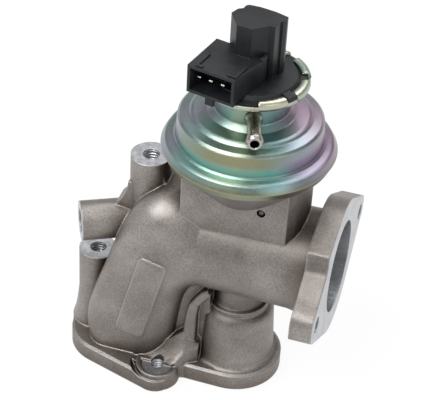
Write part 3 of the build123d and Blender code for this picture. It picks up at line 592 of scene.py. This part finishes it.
# the diaphragm: middle between the plates, fold that hangs down, bead between bowl and can
STEM_HOLE_R = 2.2
MIDDLE_LOW, MIDDLE_TOP = 114.0, 115.2
FOLD_COUNT, FOLD_START, FOLD_END = 12, 17.5, 25.0
FOLD_LOW, FOLD_TOP, FOLD_LIP = 112.2, 113.4, 113.75
BEAD_R, BEAD_EDGE_R, BEAD_LOW, BEAD_TOP = 26.6, 31.4, 113.2, 114.7
MIDDLE_STEPS, BEAD_STEPS, FOLD_STEPS = 48, 72, 6
MIDDLE = [(STEM_HOLE_R, MIDDLE_LOW), (FOLD_START, MIDDLE_LOW), (FOLD_START, MIDDLE_TOP),
          (STEM_HOLE_R, MIDDLE_TOP)]
FOLD = [(FOLD_START, MIDDLE_LOW), (19.0, 113.1), (20.5, FOLD_LOW), (22.0, FOLD_LOW), (23.5, FOLD_LOW),
        (FOLD_END, FOLD_LOW), (FOLD_END, FOLD_LIP), (24.4, FOLD_TOP), (22.4, FOLD_TOP), (20.5, FOLD_TOP),
        (19.0, 114.3), (FOLD_START, MIDDLE_TOP)]
BEAD = [(FOLD_END, FOLD_LOW), (BEAD_R, BEAD_LOW), (BEAD_EDGE_R, BEAD_LOW), (BEAD_EDGE_R, BEAD_TOP),
        (BEAD_R, BEAD_TOP), (FOLD_END, FOLD_LIP)]


def diaphragm():
    """Its middle rides with the plates, its bead stays clamped, and the fold is made sector by sector, on no
    body.
    """
    arc_piece("diaphragm_middle", MIDDLE, 0, 360, MIDDLE_STEPS, "rubber", "valve")
    bead = arc_piece("diaphragm_bead", BEAD, 0, 360, BEAD_STEPS, "rubber")
    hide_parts("diaphragm")
    half = 180 / FOLD_COUNT
    for index in range(FOLD_COUNT):
        middle = 2 * half * index
        fold = arc_piece(f"diaphragm_fold_{index + 1}", FOLD, middle - half, middle + half, FOLD_STEPS,
                         "rubber", None)
        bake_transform(fold)


coil("return_spring", low=117.7, high=137.9, radius=11.0, wire=1.1, turns=5)
coil("plunger_spring", low=154.3, high=164.45, radius=2.6, wire=0.3, turns=5)
diaphragm()

# ---- stage ----
FLOOR_REACH, FLOOR_DROP = 3.0, 0.0005
FLOOR_GREY = 0.95
# how much of the floor glows white: for the light that it sends on, and where it is seen
GLOW_INDIRECT, GLOW_SEEN = 0.22, 0.9
AIM = Vector((0, 0, 0.08))
# white at the horizon, as a backdrop; dark walls above it and a bright ceiling
DOME = [(0.0, 1.0), (0.15, 1.0), (0.19, 0.15), (0.75, 0.60)]


def floor_paint():
    """Matt white that catches shadows and glows, so that it reads as paper."""
    paint = bpy.data.materials.new("floor")
    paint.use_nodes = True
    tree = paint.node_tree
    matt = tree.nodes["Principled BSDF"]
    matt.inputs["Base Color"].default_value = (FLOOR_GREY, FLOOR_GREY, FLOOR_GREY, 1)
    matt.inputs["Roughness"].default_value = 0.9
    glow = tree.nodes.new("ShaderNodeEmission")
    glow.inputs["Color"].default_value = (1, 1, 1, 1)
    ray = tree.nodes.new("ShaderNodeLightPath")
    seen = ray.outputs["Is Camera Ray"]
    for kind in ("Is Glossy Ray", "Is Transmission Ray"):
        either = tree.nodes.new("ShaderNodeMath")
        either.operation = "MAXIMUM"
        tree.links.new(seen, either.inputs[0])
        tree.links.new(ray.outputs[kind], either.inputs[1])
        seen = either.outputs["Value"]
    share = tree.nodes.new("ShaderNodeMapRange")
    share.inputs["To Min"].default_value, share.inputs["To Max"].default_value = GLOW_INDIRECT, GLOW_SEEN
    tree.links.new(seen, share.inputs["Value"])
    mixer = tree.nodes.new("ShaderNodeMixShader")
    tree.links.new(share.outputs["Result"], mixer.inputs["Fac"])
    tree.links.new(matt.outputs["BSDF"], mixer.inputs[1])
    tree.links.new(glow.outputs["Emission"], mixer.inputs[2])
    tree.links.new(mixer.outputs["Shader"], tree.nodes["Material Output"].inputs["Surface"])
    return paint


def stage_floor():
    mesh = bpy.data.meshes.new("floor")
    corners = [(-FLOOR_REACH, -FLOOR_REACH, 0), (FLOOR_REACH, -FLOOR_REACH, 0), (FLOOR_REACH, FLOOR_REACH, 0),
               (-FLOOR_REACH, FLOOR_REACH, 0)]
    mesh.from_pydata(corners, [], [(0, 1, 2, 3)])
    mesh.materials.append(floor_paint())
    floor = bpy.data.objects.new("floor", mesh)
    scene.collection.objects.link(floor)
    floor.location.z = cad_box[0][2] - FLOOR_DROP


def area_light(name, place, size, power):
    light = bpy.data.lights.new(name, "AREA")
    light.shape, light.size, light.energy = "DISK", size, power
    lamp = bpy.data.objects.new(name, light)
    lamp.location = place
    lamp.rotation_euler = (AIM - Vector(place)).to_track_quat("-Z", "Y").to_euler()
    scene.collection.objects.link(lamp)


def studio():
    """World that shades from a white horizon over dark walls to a bright ceiling."""
    world = bpy.data.worlds.new("studio")
    scene.world = world
    world.use_nodes = True
    tree = world.node_tree
    direction = tree.nodes.new("ShaderNodeTexCoord").outputs["Generated"]
    split = tree.nodes.new("ShaderNodeSeparateXYZ")
    tree.links.new(direction, split.inputs["Vector"])
    dome = tree.nodes.new("ShaderNodeValToRGB")
    set_stops(dome, DOME)
    tree.links.new(split.outputs["Z"], dome.inputs["Fac"])
    tree.links.new(dome.outputs["Color"], tree.nodes["Background"].inputs["Color"])
    tree.nodes["Background"].inputs["Strength"].default_value = 1.0


stage_floor()
area_light("key", (-0.35, -0.45, 0.95), 0.8, 9.8)
area_light("fill", (0.75, -0.55, 0.55), 0.6, 1.4)
area_light("top", (0.1, 0.5, 1.0), 0.8, 5.0)
studio()

# ---- camera ----
CAMERA_PLACE = Vector((0.1265, -0.5086, 0.4832))
CAMERA_RIGHT, CAMERA_UP = Vector((0.9537, 0.2970, 0.0473)), Vector((-0.2163, 0.5682, 0.7940))
CAMERA_BACK = Vector((0.2089, -0.7674, 0.6061))
LENS, SENSOR_WIDTH = 137.97, 36.0
camera = bpy.data.objects.new("camera", bpy.data.cameras.new("camera"))
camera.data.lens = LENS
camera.data.sensor_width = SENSOR_WIDTH
camera.data.clip_start = 0.01
axes = Matrix((CAMERA_RIGHT, CAMERA_UP, CAMERA_BACK)).transposed()
camera.matrix_world = Matrix.LocRotScale(CAMERA_PLACE, axes, None)
scene.collection.objects.link(camera)
scene.camera = camera
scene.view_settings.view_transform = "Standard"
